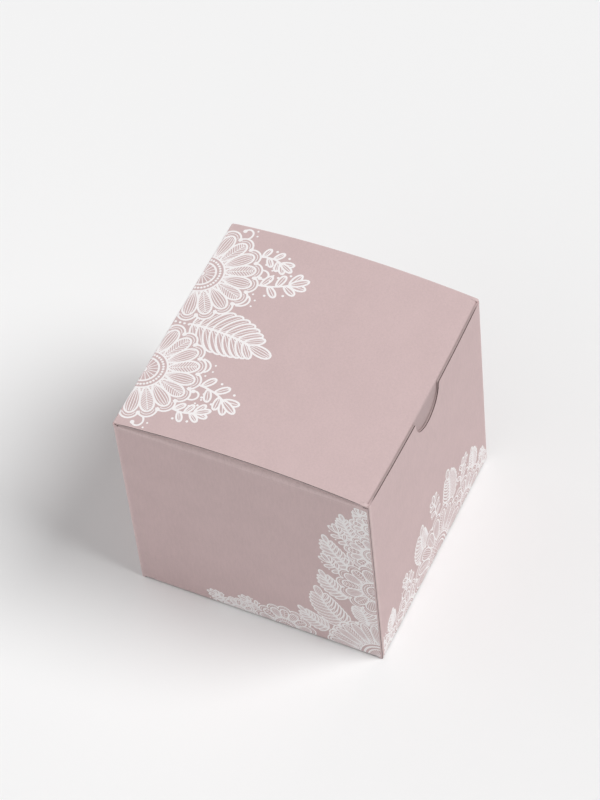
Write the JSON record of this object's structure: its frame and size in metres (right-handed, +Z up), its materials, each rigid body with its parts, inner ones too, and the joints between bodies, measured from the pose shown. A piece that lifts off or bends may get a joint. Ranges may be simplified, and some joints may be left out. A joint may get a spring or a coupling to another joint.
{
  "type": "favor box",
  "caption": "Small cube-shaped tuck-top favor box of printed folding card, with hinged lid, tuck flap, dust flaps and a thumb notch in the front panel.",
  "frame": {"origin": "middle of the bottom panel's outer face, on the surface that the box stands on", "axes": "+Z up; the front panel with the thumb notch faces -Y, the lid and the bottom panel fold on the back panel at +Y, and the left panel, which the glue tab holds, is at -X"},
  "size_m": [0.052, 0.0525, 0.052],
  "materials": {
    "printed_card": "matte dusty pink print on the outside of uncoated white card",
    "plain_card": "matte unprinted white card"
  },
  "bodies": {
    "sleeve": {"front_panel": "printed_card", "left_panel": "printed_card", "back_panel": "printed_card", "right_panel": "printed_card", "glue_tab": "plain_card"},
    "lid": {"lid_panel": "printed_card"},
    "tuck": {"tuck_flap": "printed_card"},
    "left_dust": {"left_dust_flap": "printed_card"},
    "right_dust": {"right_dust_flap": "printed_card"},
    "bottom": {"bottom_panel": "printed_card"},
    "bottom_tuck": {"bottom_tuck_flap": "printed_card"},
    "bottom_left_dust": {"bottom_left_dust_flap": "printed_card"},
    "bottom_right_dust": {"bottom_right_dust_flap": "printed_card"}
  },
  "joints": [
    {"name": "lid_hinge", "type": "hinge", "parent": "sleeve", "child": "lid", "pos_m": [0, 0.026, 0.0503], "axis": [-1, 0, 0], "range_deg": [0, 175]},
    {"name": "tuck_crease", "type": "hinge", "parent": "lid", "child": "tuck", "pos_m": [0, -0.02525, 0.0503], "axis": [-1, 0, 0], "range_deg": [0, 43.75]},
    {"name": "left_dust_crease", "type": "hinge", "parent": "sleeve", "child": "left_dust", "pos_m": [-0.026, 0, 0.04955], "axis": [0, -1, 0], "range_deg": [0, 87.5]},
    {"name": "right_dust_crease", "type": "hinge", "parent": "sleeve", "child": "right_dust", "pos_m": [0.026, 0, 0.04955], "axis": [0, 1, 0], "range_deg": [0, 87.5]},
    {"name": "bottom_hinge", "type": "hinge", "parent": "sleeve", "child": "bottom", "pos_m": [0, 0.026, 0], "axis": [1, 0, 0], "range_deg": [0, 175]},
    {"name": "bottom_tuck_crease", "type": "hinge", "parent": "bottom", "child": "bottom_tuck", "pos_m": [0, -0.02525, 0], "axis": [1, 0, 0], "range_deg": [0, 43.75]},
    {"name": "bottom_left_dust_crease", "type": "hinge", "parent": "sleeve", "child": "bottom_left_dust", "pos_m": [-0.026, 0, 0.00075], "axis": [0, 1, 0], "range_deg": [0, 87.5]},
    {"name": "bottom_right_dust_crease", "type": "hinge", "parent": "sleeve", "child": "bottom_right_dust", "pos_m": [0.026, 0, 0.00075], "axis": [0, -1, 0], "range_deg": [0, 87.5]}
  ],
  "couplings": [
    {"joint": "tuck_crease", "follows": "lid_hinge", "ratio": 0.25},
    {"joint": "left_dust_crease", "follows": "lid_hinge", "ratio": 0.5},
    {"joint": "right_dust_crease", "follows": "lid_hinge", "ratio": 0.5},
    {"joint": "bottom_tuck_crease", "follows": "bottom_hinge", "ratio": 0.25},
    {"joint": "bottom_left_dust_crease", "follows": "bottom_hinge", "ratio": 0.5},
    {"joint": "bottom_right_dust_crease", "follows": "bottom_hinge", "ratio": 0.5}
  ]
}
